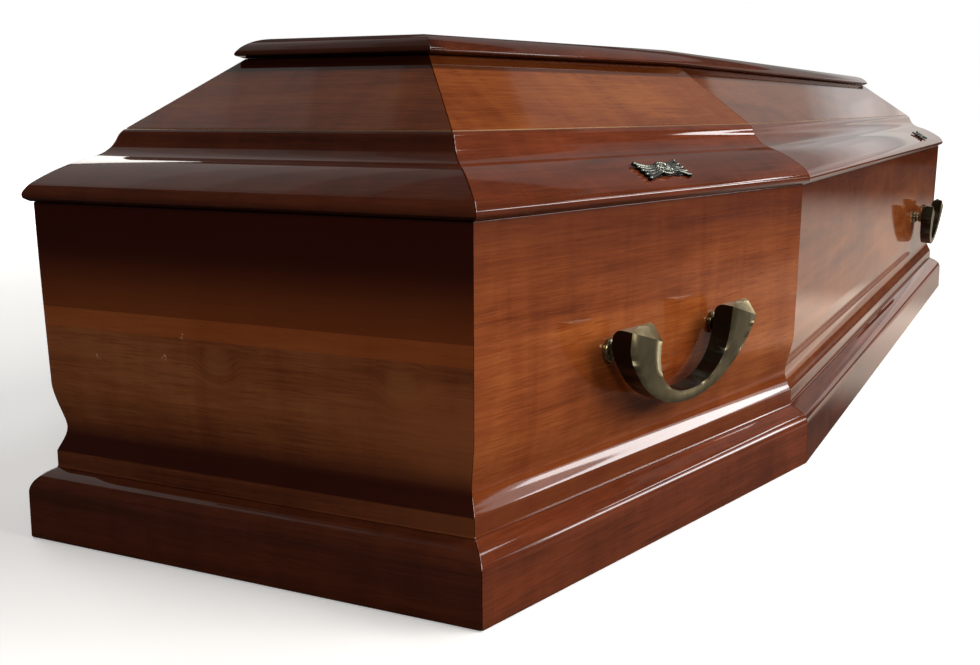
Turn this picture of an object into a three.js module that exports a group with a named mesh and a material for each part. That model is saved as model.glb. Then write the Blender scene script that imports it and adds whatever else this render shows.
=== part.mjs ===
import * as THREE from 'three';
import { mergeVertices } from 'three/addons/utils/BufferGeometryUtils.js';

// Six-sided wooden coffin with its lid in place, in millimetres, +Z up.
// The head end faces -X and the foot end +X. Z = 0 is the ground.

// Plan of the wall tops.
const LENGTH = 2020;
const SHOULDER_FROM_HEAD = 537.6;
const HEAD_HALF_WIDTH = 213.7;
const SHOULDER_HALF_WIDTH = 301.3;
const FOOT_HALF_WIDTH = 187.7;

// Boards and joints. Offsets run outward from the wall-top line.
const GAP = 0.3;
const WALL_INSIDE = -24;
const BOARD_THICKNESS = 18;
const PLINTH_HEIGHT = 61.7;
const PLINTH_OUTSIDE = 18.2;
const PLINTH_BACK = -2.4;
const FILLET_TOP = 77;
const SCOTIA_HEIGHT = 98;
const SCOTIA_DEPTH = -9.9;
const SCOTIA_TOP = 137;
const WALL_TOP = 296;
const RIM_NOSE = 8.2;
const RIM_COVE_OFFSET = -35.9;
const RIM_COVE_HEIGHT = 332.4;
const RIM_TOP_OFFSET = -59.3;
const RIM_TOP = 356.4;
const SLOPE_TOP_OFFSET = -140.1;
const SLOPE_TOP_BACK = -165.4;
const LID_TOP_UNDERSIDE = 416.4;
const LID_TOP_NOSE = -132.7;
const LID_TOP_FLAT = -158;
const OVERALL_HEIGHT = 433.5;

// Handles: a flat bail that stands off the wall on two short posts.
const HANDLE_FROM_HEAD_CORNER = 269;
const HANDLE_FROM_SHOULDER = 1185;
const HANDLE_HEIGHT = 177;
const POST_SPREAD = 89;
const BAIL_FRONT = 33;
const BAIL_DEPTH = 18;
const BAIL_LEAN = 0.1;
const BAIL_HALF_WIDTH = 111;
const BAIL_HALF_GAP = 61;
const BAIL_BOTTOM = 122.5;
const BAIL_BAR = 10;
const LEG_TOP = 199;
const LEG_TOP_LOW = 185;
const LEG_BEND = 184;
const ROSETTE_RADIUS = 10.5;
const NECK_RADIUS = 6.2;
const POST_HEAD_RADIUS = 8.6;
const POST_FOOT = -0.5;
const POST_LENGTH = 13.8;

// Cast ornaments on the lid's edge moulding.
const ORNAMENT_FROM_HEAD_CORNER = 275;
const ORNAMENT_FROM_SHOULDER = 1193;
const ORNAMENT_OFFSET = -8.5;
const ORNAMENT_HEIGHT = 319.6;
const ORNAMENT_TILT = THREE.MathUtils.degToRad(33.5);
const ORNAMENT_THICKNESS = 4.6;
const ORNAMENT_ARRIS = 0.75;
const WING_LENGTH = 38.5;
const WING_HALF_WIDTH = 12.5;
const WAIST_FROM_MIDDLE = 12;
const WAIST_HALF_WIDTH = 8.5;
const BOSS_HALF_WIDTH = 10;
const FINGERS = 5;
const FINGER_TIP = 4;

const PANEL_WOOD = { color: 0x7a3d1e, roughness: 0.22, metalness: 0 };
const MOULDING_WOOD = { color: 0x5a2616, roughness: 0.22, metalness: 0 };
const RAW_BOARD = { color: 0x8a6440, roughness: 0.7, metalness: 0 };
const BRONZE = { color: 0x6e6347, roughness: 0.33, metalness: 1 };

const half = LENGTH / 2;
const shoulder = SHOULDER_FROM_HEAD - half;

// Corners in plan, seen from above, going round by the visible long side.
const corners = [
  new THREE.Vector2(-half, HEAD_HALF_WIDTH),
  new THREE.Vector2(-half, -HEAD_HALF_WIDTH),
  new THREE.Vector2(shoulder, -SHOULDER_HALF_WIDTH),
  new THREE.Vector2(half, -FOOT_HALF_WIDTH),
  new THREE.Vector2(half, FOOT_HALF_WIDTH),
  new THREE.Vector2(shoulder, SHOULDER_HALF_WIDTH),
];
const sideNames = ['head', 'shoulder_right', 'long_right', 'foot', 'long_left', 'shoulder_left'];

const sides = corners.map((start, i) => {
  const end = corners[(i + 1) % corners.length];
  const along = end.clone().sub(start);
  const length = along.length();
  along.normalize();
  const outward = new THREE.Vector2(along.y, -along.x);
  return { start, end, length, along, outward };
});

// The vector that a corner moves by for each millimetre of outward offset.
const mitres = corners.map((corner, i) => {
  const before = sides[(i + corners.length - 1) % corners.length].outward;
  const after = sides[i].outward;
  return before.clone().add(after).divideScalar(1 + before.dot(after));
});

// Points of a cubic curve that starts at the first point, which isn't repeated.
const bend = (from, pull1, pull2, to, steps) => new THREE.CubicBezierCurve(
  ...[from, pull1, pull2, to].map(([x, y]) => new THREE.Vector2(x, y)),
).getPoints(steps).slice(1).map(({ x, y }) => [x, y]);

// Profiles across the thickness: offset outward from the wall-top line, height.
const plinthShoulder = [PLINTH_OUTSIDE - 0.4, 41];
const plinthProfile = [
  [PLINTH_BACK, 0],
  [PLINTH_OUTSIDE - 0.6, 0],
  [PLINTH_OUTSIDE, 2],
  plinthShoulder,
  ...bend(plinthShoulder, [17.5, 51], [9, 57.6], [-1.2, PLINTH_HEIGHT - 0.1], 8),
  [PLINTH_BACK, PLINTH_HEIGHT],
];
const filletTop = [-2.3, FILLET_TOP];
const scotia = [SCOTIA_DEPTH, SCOTIA_HEIGHT];
const panelFoot = [-1.9, SCOTIA_TOP];
const wallProfile = [
  [WALL_INSIDE, 0],
  [PLINTH_BACK - GAP, 0],
  [PLINTH_BACK - GAP, PLINTH_HEIGHT + GAP],
  [-2, PLINTH_HEIGHT + GAP],
  filletTop,
  ...bend(filletTop, [-4.5, 82.5], [-9.8, 90], scotia, 7),
  ...bend(scotia, [SCOTIA_DEPTH, 105.5], [-3.4, 121], panelFoot, 8),
  ...bend(panelFoot, [-1.3, 165], [0.2, 235], [0.7, WALL_TOP], 4),
  [WALL_INSIDE, WALL_TOP],
];
const rimBead = [7.1, 298.8];
const rimShoulder = [2.4, 311.3];
const rimCove = [RIM_COVE_OFFSET, RIM_COVE_HEIGHT];
const rimNeck = [-53.5, 348.2];
const rimProfile = [
  [WALL_INSIDE, WALL_TOP + GAP],
  [2.6, WALL_TOP + GAP],
  rimBead,
  ...bend(rimBead, [RIM_NOSE + 0.4, 300], [RIM_NOSE, 304.5], rimShoulder, 6),
  ...bend(rimShoulder, [-8, 319.9], [-23, 328.4], rimCove, 7),
  ...bend(rimCove, [-44.5, 335.2], [-50.5, 340.5], rimNeck, 5),
  ...bend(rimNeck, [-54.8, 351.8], [-56.5, 354.6], [RIM_TOP_OFFSET, RIM_TOP], 3),
  [-67.9, 344.4],
  ...bend([-67.9, 344.4], [-66, 326], [-44, 314], [-28, 306], 4),
];
const slopeProfile = [
  [RIM_TOP_OFFSET, RIM_TOP + 0.5],
  [SLOPE_TOP_OFFSET, LID_TOP_UNDERSIDE - GAP],
  [SLOPE_TOP_BACK, LID_TOP_UNDERSIDE - GAP],
  [-68.2, 344.8],
];
const lidTopNose = [LID_TOP_NOSE, 419.8];
const lidTopProfile = [
  [-139.4, LID_TOP_UNDERSIDE],
  ...bend([-139.4, LID_TOP_UNDERSIDE], [-136, 418], [-133, 418], lidTopNose, 3),
  ...bend(lidTopNose, [-136, 427], [-145.5, 432.6], [LID_TOP_FLAT, OVERALL_HEIGHT], 8),
];

// Keeps positions only, joins shared corners and makes the faces point out.
function solid(geometry) {
  const plain = geometry.index ? geometry.toNonIndexed() : geometry.clone();
  plain.deleteAttribute('normal');
  plain.deleteAttribute('uv');
  const merged = mergeVertices(plain, 1e-3);
  const position = merged.attributes.position;
  const order = merged.index.array;
  const [a, b, c] = [new THREE.Vector3(), new THREE.Vector3(), new THREE.Vector3()];
  let volume = 0;
  for (let i = 0; i < order.length; i += 3) {
    a.fromBufferAttribute(position, order[i]);
    b.fromBufferAttribute(position, order[i + 1]);
    c.fromBufferAttribute(position, order[i + 2]);
    volume += a.dot(b.cross(c));
  }
  if (volume < 0) {
    for (let i = 0; i < order.length; i += 3) {
      [order[i + 1], order[i + 2]] = [order[i + 2], order[i + 1]];
    }
  }
  merged.computeVertexNormals();
  return merged;
}

// Moves every corner of a geometry by a function of its old place.
function reshape(geometry, place) {
  const position = geometry.attributes.position;
  const old = new THREE.Vector3();
  for (let i = 0; i < position.count; i += 1) {
    old.fromBufferAttribute(position, i);
    const moved = place(old);
    position.setXYZ(i, moved.x, moved.y, moved.z);
  }
  return geometry;
}

const outline = (points) => new THREE.Shape(points.map(([x, y]) => new THREE.Vector2(x, y)));

// One straight length of a profile, cut to the mitre at both ends.
function mitredLength(profile, i) {
  const bar = new THREE.ExtrudeGeometry(outline(profile), { depth: 1, steps: 1, bevelEnabled: false });
  const { start, end, along } = sides[i];
  const next = (i + 1) % corners.length;
  return solid(reshape(bar, (p) => {
    const atEnd = p.z > 0.5;
    const base = atEnd ? end : start;
    const mitre = mitres[atEnd ? next : i];
    const slack = (atEnd ? -GAP : GAP) / 2;
    return new THREE.Vector3(
      base.x + mitre.x * p.x + along.x * slack,
      base.y + mitre.y * p.x + along.y * slack,
      p.y,
    );
  }));
}

// A flat board whose outline is the plan moved outward by an offset.
function planOutline(offset) {
  return corners.map((corner, i) => corner.clone().addScaledVector(mitres[i], offset));
}

function flatBoard(offset, low, high) {
  const board = new THREE.ExtrudeGeometry(new THREE.Shape(planOutline(offset)), {
    depth: high - low,
    steps: 1,
    bevelEnabled: false,
  });
  board.translate(0, 0, low);
  return solid(board);
}

// The lid's top board: stacked plan outlines follow the rounded edge.
function lidTopBoard() {
  const levels = lidTopProfile.length - 1;
  const base = planOutline(lidTopProfile[0][0]);
  const board = new THREE.ExtrudeGeometry(new THREE.Shape(base), {
    depth: levels,
    steps: levels,
    bevelEnabled: false,
  });
  return solid(reshape(board, (p) => {
    const nearest = base.reduce(
      (best, corner, i) => {
        const gap = Math.hypot(corner.x - p.x, corner.y - p.y);
        return gap < best.gap ? { gap, i } : best;
      },
      { gap: Infinity, i: 0 },
    ).i;
    const [offset, height] = lidTopProfile[Math.round(p.z)];
    const corner = corners[nearest].clone().addScaledVector(mitres[nearest], offset);
    return new THREE.Vector3(corner.x, corner.y, height);
  }));
}

// Places a point given by distance along a side, height and distance out.
function onSide(i, along, height, out, mirrored) {
  const { start, along: direction, outward } = sides[i];
  const x = start.x + direction.x * along + outward.x * out;
  const y = start.y + direction.y * along + outward.y * out;
  return new THREE.Vector3(x, mirrored ? -y : y, height);
}

// Half of the bail's front outline, from the tip of a leg to the middle.
const knee = [96, 162];
const insideKnee = [55, 157];
const bailOutside = [
  [BAIL_HALF_WIDTH, LEG_TOP],
  [BAIL_HALF_WIDTH, LEG_BEND],
  ...bend([BAIL_HALF_WIDTH, LEG_BEND], [108.5, 176], [103, 169], knee, 4),
  ...bend(knee, [80, 144], [48, BAIL_BOTTOM], [0, BAIL_BOTTOM], 8),
];
const bailInside = [
  [BAIL_HALF_GAP, LEG_TOP],
  [BAIL_HALF_GAP, LEG_BEND],
  ...bend([BAIL_HALF_GAP, LEG_BEND], [61.5, 175], [59.5, 165], insideKnee, 4),
  ...bend(insideKnee, [46, 142], [26, BAIL_BOTTOM + BAIL_BAR], [0, BAIL_BOTTOM + BAIL_BAR], 7),
];

// The facet at a leg's top falls from its head-side edge to its foot-side edge.
function bail(side, centre, mirrored) {
  const mirror = ([a, z]) => [-a, z];
  const points = [
    ...bailOutside.map(mirror),
    ...bailOutside.slice(0, -1).reverse(),
    ...bailInside,
    ...bailInside.slice(0, -1).reverse().map(mirror),
  ];
  const block = new THREE.ExtrudeGeometry(outline(points), {
    depth: BAIL_DEPTH,
    steps: 1,
    bevelEnabled: false,
  });
  const footSides = [-BAIL_HALF_GAP, BAIL_HALF_WIDTH];
  return solid(reshape(block, (p) => {
    const front = p.z > BAIL_DEPTH / 2;
    const footSide = footSides.some((x) => Math.abs(p.x - x) < GAP);
    const height = front && footSide && p.y === LEG_TOP ? LEG_TOP_LOW : p.y;
    const out = BAIL_FRONT - BAIL_DEPTH + p.z + BAIL_LEAN * (height - HANDLE_HEIGHT);
    return onSide(side, centre + p.x, height, out, mirrored);
  }));
}

// Rosette, neck and head of one post, turned about its axis out of the wall.
const rosetteEdge = [ROSETTE_RADIUS, 2.2];
const neck = [NECK_RADIUS, 8.5];
const headEdge = [POST_HEAD_RADIUS, 12];
const postProfile = [
  [0, POST_FOOT],
  [ROSETTE_RADIUS, POST_FOOT],
  rosetteEdge,
  ...bend(rosetteEdge, [9.5, 4.4], [NECK_RADIUS, 5], neck, 4),
  headEdge,
  [POST_HEAD_RADIUS, POST_LENGTH],
  [0, POST_LENGTH],
];

function post(side, along, mirrored) {
  const turned = new THREE.LatheGeometry(postProfile.map(([r, out]) => new THREE.Vector2(r, out)), 20);
  return solid(reshape(turned, (p) => onSide(side, along + p.x, HANDLE_HEIGHT + p.z, p.y, mirrored)));
}

// One wing's end: rounded finger tips side by side.
function wingEnd(sign) {
  const stepsPerFinger = 4;
  const steps = FINGERS * stepsPerFinger;
  return Array.from({ length: steps + 1 }, (_, k) => {
    const share = k / steps;
    const tip = FINGER_TIP * Math.abs(Math.sin(share * FINGERS * Math.PI));
    return [sign * (WING_LENGTH - FINGER_TIP + tip), sign * (share * 2 - 1) * WING_HALF_WIDTH];
  });
}

// Winged ornament: a bow of two wings with a waist to each side of a boss.
function ornamentOutline() {
  const waist = (sign) => [
    [sign * WAIST_FROM_MIDDLE, sign * WAIST_HALF_WIDTH],
    [0, sign * BOSS_HALF_WIDTH],
    [-sign * WAIST_FROM_MIDDLE, sign * WAIST_HALF_WIDTH],
  ];
  return [...wingEnd(1), ...waist(1), ...wingEnd(-1), ...waist(-1)];
}

function ornament(side, along, mirrored) {
  const plate = new THREE.ExtrudeGeometry(outline(ornamentOutline()), {
    depth: ORNAMENT_THICKNESS - 2 * ORNAMENT_ARRIS,
    steps: 1,
    bevelEnabled: true,
    bevelThickness: ORNAMENT_ARRIS,
    bevelSize: ORNAMENT_ARRIS,
    bevelOffset: -ORNAMENT_ARRIS,
    bevelSegments: 1,
  });
  plate.translate(0, 0, ORNAMENT_ARRIS + GAP);
  const [c, s] = [Math.cos(ORNAMENT_TILT), Math.sin(ORNAMENT_TILT)];
  return solid(reshape(plate, (p) => onSide(
    side,
    along + p.x,
    ORNAMENT_HEIGHT + p.y * s + p.z * c,
    ORNAMENT_OFFSET - p.y * c + p.z * s,
    mirrored,
  )));
}

const group = new THREE.Group();

function add(name, geometry, finish) {
  const mesh = new THREE.Mesh(geometry, new THREE.MeshStandardMaterial(finish));
  mesh.name = name;
  group.add(mesh);
}

add('bottom_board', flatBoard(WALL_INSIDE - GAP, 0, BOARD_THICKNESS), RAW_BOARD);
sideNames.forEach((side, i) => {
  add(`wall_${side}`, mitredLength(wallProfile, i), PANEL_WOOD);
  add(`plinth_${side}`, mitredLength(plinthProfile, i), MOULDING_WOOD);
  add(`lid_rim_${side}`, mitredLength(rimProfile, i), MOULDING_WOOD);
  add(`lid_slope_${side}`, mitredLength(slopeProfile, i), PANEL_WOOD);
});
add('lid_top_board', lidTopBoard(), MOULDING_WOOD);

// One handle and one ornament stand at each end of both long sides.
[false, true].forEach((mirrored) => {
  const hand = mirrored ? 'left' : 'right';
  [
    { end: 'head', side: 1, handle: HANDLE_FROM_HEAD_CORNER, winged: ORNAMENT_FROM_HEAD_CORNER },
    { end: 'foot', side: 2, handle: HANDLE_FROM_SHOULDER, winged: ORNAMENT_FROM_SHOULDER },
  ].forEach(({ end, side, handle, winged }) => {
    add(`handle_bail_${end}_${hand}`, bail(side, handle, mirrored), BRONZE);
    add(`handle_post_a_${end}_${hand}`, post(side, handle - POST_SPREAD, mirrored), BRONZE);
    add(`handle_post_b_${end}_${hand}`, post(side, handle + POST_SPREAD, mirrored), BRONZE);
    add(`lid_ornament_${end}_${hand}`, ornament(side, winged, mirrored), BRONZE);
  });
});

export default group;
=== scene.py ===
"""A lacquered wooden coffin with a hipped lid, cast handles and lid ornaments.

Each board, moulding and casting is modelled on its own in metres: +X runs
towards the foot end, +Z is up and Z = 0 is the ground.
"""

import math

import bpy
from mathutils import Matrix, Vector


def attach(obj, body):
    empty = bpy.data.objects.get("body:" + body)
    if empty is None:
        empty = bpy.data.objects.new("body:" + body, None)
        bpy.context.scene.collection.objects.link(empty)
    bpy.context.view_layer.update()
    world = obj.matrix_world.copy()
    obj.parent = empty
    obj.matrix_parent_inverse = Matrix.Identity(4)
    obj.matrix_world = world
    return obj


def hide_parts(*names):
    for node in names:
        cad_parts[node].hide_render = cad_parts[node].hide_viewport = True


bl_info = {
    "name": "Lacquered Coffin",
    "version": (1, 0, 0),
    "blender": (4, 5, 0),
    "location": "View3D > Sidebar > Coffin",
    "description": "Builds a moulded wooden coffin and the stage that it stands on",
    "category": "Add Mesh",
}

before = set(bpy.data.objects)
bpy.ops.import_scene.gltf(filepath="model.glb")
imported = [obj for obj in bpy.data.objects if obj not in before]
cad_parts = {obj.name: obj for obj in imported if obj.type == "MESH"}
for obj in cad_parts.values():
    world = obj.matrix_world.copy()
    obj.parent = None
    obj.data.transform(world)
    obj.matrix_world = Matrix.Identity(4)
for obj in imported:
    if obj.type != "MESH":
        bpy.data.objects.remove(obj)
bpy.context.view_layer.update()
MM = 0.001

# Millimetres: the plan of the wall tops, going round from the head end's left corner.
HALF_LENGTH = 1010.0
SHOULDER_X = -472.4
HEAD_HALF = 213.7
SHOULDER_HALF = 301.3
FOOT_HALF = 187.7
CORNERS = [Vector(c) for c in (
    (-HALF_LENGTH, HEAD_HALF),
    (-HALF_LENGTH, -HEAD_HALF),
    (SHOULDER_X, -SHOULDER_HALF),
    (HALF_LENGTH, -FOOT_HALF),
    (HALF_LENGTH, FOOT_HALF),
    (SHOULDER_X, SHOULDER_HALF),
)]
SIDE_NAMES = ("head", "shoulder_right", "long_right", "foot", "long_left", "shoulder_left")
HANDLE_PLACES = (
    ("head_right", 1, False),
    ("foot_right", 2, False),
    ("head_left", 1, True),
    ("foot_left", 2, True),
)
GAP = 0.3
WALL_INSIDE = -24.0
BARE_FROM = 23.5
WALL_TOP = 296.0
BOTTOM_THICKNESS = 18.0
LID_SEAT = WALL_TOP + GAP
SLOPE_TOP = 416.1
LID_TOP = 433.5


class Side:
    """One straight side of the plan, with its direction and its mitres."""

    def __init__(self, index):
        self.index = index
        self.start = CORNERS[index]
        self.end = CORNERS[(index + 1) % len(CORNERS)]
        run = self.end - self.start
        self.length = run.length
        self.along = run.normalized()
        self.inward = Vector((-self.along.y, self.along.x))
        self.angle = math.atan2(self.along.y, self.along.x)

    def matrix(self):
        """Takes a piece drawn along +X, with +Y inward, to its side in metres."""
        turn = Matrix.Rotation(self.angle, 4, "Z")
        place = Matrix.Translation((self.start.x * MM, self.start.y * MM, 0))
        return place @ turn @ Matrix.Scale(MM, 4)


SIDES = [Side(i) for i in range(len(CORNERS))]


def mitre_slope(index, at_end):
    """How far a mitre runs along the side for each millimetre inward."""
    here = SIDES[index]
    other = SIDES[(index + (1 if at_end else -1)) % len(SIDES)]
    turn = abs(here.along.angle_signed(other.along))
    return math.tan(turn / 2) * (-1 if at_end else 1)


def curve(p0, p1, p2, p3, steps):
    """Points of a cubic curve after its first one."""
    points = []
    for k in range(1, steps + 1):
        t = k / steps
        s = 1 - t
        weights = (s * s * s, 3 * s * s * t, 3 * s * t * t, t * t * t)
        points.append(tuple(
            sum(w * p[axis] for w, p in zip(weights, (p0, p1, p2, p3))) for axis in (0, 1)
        ))
    return points


# Profiles in millimetres: offset outward from the wall top's line, height.
PLINTH = (
    [(-2.4, 0.0), (16.9, 0.0)]
    + curve((16.9, 0.0), (17.8, 0.1), (18.2, 0.7), (18.2, 1.8), 4)
    + [(17.8, 41.0)]
    + curve((17.8, 41.0), (17.5, 51.0), (9.0, 57.6), (-1.2, 61.6), 14)
    + [(-2.4, 61.7)]
)
WALL = (
    [(WALL_INSIDE, WALL_TOP), (WALL_INSIDE, 0.0), (-2.7, 0.0), (-2.7, 62.0), (-1.3, 62.1), (-2.2, 63.4)]
    + [(-2.3, 77.0)]
    + curve((-2.3, 77.0), (-4.5, 82.5), (-9.8, 90.0), (-9.9, 98.0), 12)
    + curve((-9.9, 98.0), (-9.9, 105.5), (-3.4, 121.0), (-1.9, 137.0), 14)
    + curve((-1.9, 137.0), (-1.3, 165.0), (0.2, 235.0), (0.7, 294.8), 6)
    + [(0.2, WALL_TOP)]
)
RIM = (
    [(-28.0, 306.0), (WALL_INSIDE, LID_SEAT), (2.6, LID_SEAT)]
    + curve((2.6, LID_SEAT), (4.4, 296.6), (5.6, 297.8), (7.1, 298.8), 4)
    + curve((7.1, 298.8), (8.2, 300.0), (8.2, 303.0), (7.3, 304.6), 7)
    + curve((7.3, 304.6), (6.2, 306.8), (4.6, 308.8), (2.4, 311.3), 4)
    + curve((2.4, 311.3), (-8.0, 319.9), (-23.0, 328.4), (-35.9, 332.4), 16)
    + curve((-35.9, 332.4), (-44.5, 335.2), (-50.5, 340.5), (-53.5, 348.2), 10)
    + curve((-53.5, 348.2), (-54.8, 351.8), (-56.5, 354.6), (-59.3, 356.4), 6)
    + [(-67.9, 344.4), (-66.0, 333.5), (-58.0, 323.0), (-42.0, 314.5)]
)
SLOPE = [(-68.2, 344.8), (-59.6, 356.8), (-140.1, SLOPE_TOP), (-165.4, SLOPE_TOP)]
CAP_NOSE_OFFSET = -132.7
CAP_NOSE_LOW = (CAP_NOSE_OFFSET, 419.2)
CAP_NOSE_HIGH = (CAP_NOSE_OFFSET, 420.4)
CAP_TOP = curve(CAP_NOSE_HIGH, (-136.0, 427.0), (-145.5, 432.6), (-158.0, LID_TOP), 12)
CAP_UNDER = curve(CAP_NOSE_LOW, (-133.0, 418.3), (-135.4, 418.0), (-139.0, SLOPE_TOP + GAP), 5)


# Modelling by hand: primitives, edit mode and applied modifiers

def start_fresh():
    """Leaves edit mode and selects nothing."""
    if bpy.context.object and bpy.context.object.mode != "OBJECT":
        bpy.ops.object.mode_set(mode="OBJECT")
    bpy.ops.object.select_all(action="DESELECT")


def begin(name, make, **settings):
    """Adds a primitive, names it and goes into edit mode."""
    start_fresh()
    make(**settings)
    piece = bpy.context.object
    piece.name = name
    piece.data.name = name
    bpy.ops.object.mode_set(mode="EDIT")
    return piece


def pick(piece, kind, wanted):
    """Selects only the vertices, edges or faces that a test accepts."""
    bpy.ops.mesh.select_mode(type=kind)
    bpy.ops.mesh.select_all(action="DESELECT")
    bpy.ops.object.mode_set(mode="OBJECT")
    mesh = piece.data
    if kind == "VERT":
        for vertex in mesh.vertices:
            vertex.select = bool(wanted(vertex.co))
    elif kind == "EDGE":
        for edge in mesh.edges:
            ends = [mesh.vertices[i].co for i in edge.vertices]
            edge.select = bool(wanted(*ends))
    else:
        for face in mesh.polygons:
            face.select = bool(wanted(face))
    bpy.ops.object.mode_set(mode="EDIT")


def shift(x, y, z):
    """The settings that move what an operator has just made."""
    return {"value": (x, y, z)}


def select_only(piece):
    """Leaves edit mode and makes one piece the selected and active one."""
    start_fresh()
    piece.select_set(True)
    bpy.context.view_layer.objects.active = piece


def face_outward():
    """Turns all the faces of the mesh in edit mode outward."""
    bpy.ops.mesh.select_all(action="SELECT")
    bpy.ops.mesh.normals_make_consistent(inside=False)


def place(piece, matrix):
    """Puts a finished piece where it belongs, with its place in its mesh."""
    select_only(piece)
    piece.matrix_world = matrix
    bpy.ops.object.transform_apply(location=True, rotation=True, scale=True)
    if matrix.determinant() < 0:
        bpy.ops.object.mode_set(mode="EDIT")
        face_outward()
        bpy.ops.object.mode_set(mode="OBJECT")


def modify(piece, kind, **settings):
    """Adds one modifier and applies it."""
    select_only(piece)
    modifier = piece.modifiers.new(kind.title(), kind)
    for key, value in settings.items():
        setattr(modifier, key, value)
    bpy.ops.object.modifier_apply(modifier=modifier.name)


def finish_edges(piece, width, segments=2, angle=28.0, crisp=False):
    """Breaks the sharp arrises and smooths the rest; crisp keeps each face of an arris apart."""
    modify(
        piece, "BEVEL", width=width, segments=segments, limit_method="ANGLE",
        angle_limit=math.radians(angle), profile=0.6, use_clamp_overlap=True,
    )
    bpy.ops.object.shade_smooth_by_angle(angle=math.radians(20 if crisp else 35))
    if not crisp:
        modify(piece, "WEIGHTED_NORMAL", keep_sharp=True, weight=60)


def copy_of(piece, name):
    """A copy with a mesh of its own."""
    twin = piece.copy()
    twin.data = piece.data.copy()
    twin.name = name
    twin.data.name = name
    bpy.context.scene.collection.objects.link(twin)
    return twin


def hand_over(piece, slot, *nodes):
    """Rides on the body and takes its node's place; its slot is not used."""
    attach(piece, "root")
    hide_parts(*nodes)


SAW_WASTE = 60.0


def moulding(name, profile, index, arris):
    """Draws a profile out along one side and saws both ends to the mitre."""
    side = SIDES[index]
    first, rest = profile[0], profile[1:]
    piece = begin(
        name, bpy.ops.mesh.primitive_plane_add, size=side.length + 2 * SAW_WASTE,
        location=(0, 0, 0),
    )
    edge = -(side.length / 2 + SAW_WASTE)
    pick(piece, "VERT", lambda co: co.y > 0)
    bpy.ops.mesh.delete(type="VERT")
    bpy.ops.mesh.select_mode(type="VERT")
    bpy.ops.mesh.select_all(action="SELECT")
    bpy.ops.transform.translate(value=(side.length / 2, -edge - first[0], first[1]))
    last = first
    for point in rest:
        bpy.ops.mesh.extrude_edges_move(TRANSFORM_OT_translate=shift(
            0, last[0] - point[0], point[1] - last[1]))
        last = point
    bpy.ops.mesh.extrude_edges_move(TRANSFORM_OT_translate=shift(
        0, last[0] - first[0], first[1] - last[1]))
    bpy.ops.mesh.select_all(action="SELECT")
    bpy.ops.mesh.remove_doubles(threshold=0.005)
    for at_end in (False, True):
        slope = mitre_slope(index, at_end)
        bpy.ops.mesh.select_all(action="SELECT")
        bpy.ops.mesh.bisect(
            plane_co=(side.length - GAP / 2 if at_end else GAP / 2, 0, 0),
            plane_no=(1, -slope, 0), use_fill=True,
            clear_inner=not at_end, clear_outer=at_end,
        )
    face_outward()
    place(piece, side.matrix())
    finish_edges(piece, arris * MM)
    return piece


def plan_corner(index, offset):
    """A corner of the plan once every side is moved outward by an offset."""
    before, after = SIDES[index - 1].inward, SIDES[index].inward
    mitre = (before + after) / (1 + before.dot(after))
    return CORNERS[index] - mitre * offset


def six_sided_board(name, offset, low, high):
    """A flat board with the plan's outline."""
    piece = begin(
        name, bpy.ops.mesh.primitive_circle_add, vertices=len(CORNERS), radius=300.0,
        fill_type="NGON", location=(0, 0, 0),
    )
    bpy.ops.object.mode_set(mode="OBJECT")
    starts = [vertex.co.copy() for vertex in piece.data.vertices]
    order = sorted(range(len(starts)), key=lambda i: math.atan2(starts[i].y, starts[i].x))
    targets = sorted(
        (plan_corner(i, offset) for i in range(len(CORNERS))),
        key=lambda c: math.atan2(c.y, c.x),
    )
    bpy.ops.object.mode_set(mode="EDIT")
    for source, target in zip(order, targets):
        here = starts[source]
        pick(piece, "VERT", lambda co, here=here: (co - here).length < 0.01)
        bpy.ops.transform.translate(value=(target.x - here.x, target.y - here.y, low))
    bpy.ops.mesh.select_mode(type="FACE")
    bpy.ops.mesh.select_all(action="SELECT")
    bpy.ops.mesh.extrude_region_move(TRANSFORM_OT_translate=shift(0, 0, high - low))
    face_outward()
    return piece


def stepped_edge(piece, face_up, start, points):
    """Insets a board's face again and again to follow a rounded edge."""
    pick(piece, "FACE", lambda face: (face.normal.z > 0.9) if face_up else (face.normal.z < -0.9))
    last = start
    for point in points:
        rise = (point[1] - last[1]) * (1 if face_up else -1)
        bpy.ops.mesh.inset(thickness=last[0] - point[0], depth=rise, use_even_offset=True)
        last = point


# Finishes: places on the head end are metres across and up, and tones are linear colours.
HEAD_KNOTS = ((-0.15, 0.172), (0.024, 0.174))
HEAD_NICKS = ((0.152, 0.168), (0.079, 0.174), (0.06, 0.193))
KNOT_SIZE = 0.03
KNOT_SQUEEZE = -0.55
KNOT_LIFT = 0.006
NICK_SIZE = 0.0045
HALF_JOINT_LINE = 0.0004
HEAD_PLANKS = (
    (0.19, (0.32, 0.07, 0.012), 0.5),
    (0.207, (0.1, 0.019, 0.003), 0.65),
)
# Heights, or places along the cap, between which a darker edge fades; on the slopes' top edge and the cap's
# head edge it is painted shade.
FILLET_TOP = (0.0765, 0.078)
HEAD_FOOT_EDGE = (0.09, 0.112)
HEAD_TOP_EDGE = (0.2, 0.265)
SIDE_FOOT_EDGE = (0.07, 0.12)
SIDE_TOP_EDGE = (0.2, 0.31)
SLOPE_FOOT_EDGE = (0.3, 0.35)
SLOPE_TOP_EDGE = (0.4035, 0.4055)
CAP_HEAD_EDGE = (-0.872, -0.85)
HEAD_TONES = ((0.07, 0.015, 0.004), (0.165, 0.042, 0.012), (0.27, 0.085, 0.026))
HEAD_WARM_TONE = (0.34, 0.1, 0.032)
HEAD_EDGE_TONE = (0.022, 0.0012, 0.0002)
SIDE_EDGE_TONE = (0.06, 0.008, 0.002)
# Painted shade along the top board's head edge.
CAP_HEAD_SHADE_TONE = (0.02, 0.004, 0.002)
NICK_TONE = (0.5, 0.33, 0.2)
KNOT_TONE = (0.3, 0.12, 0.035)
RAW_DARK = (0.3, 0.16, 0.075)
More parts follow.
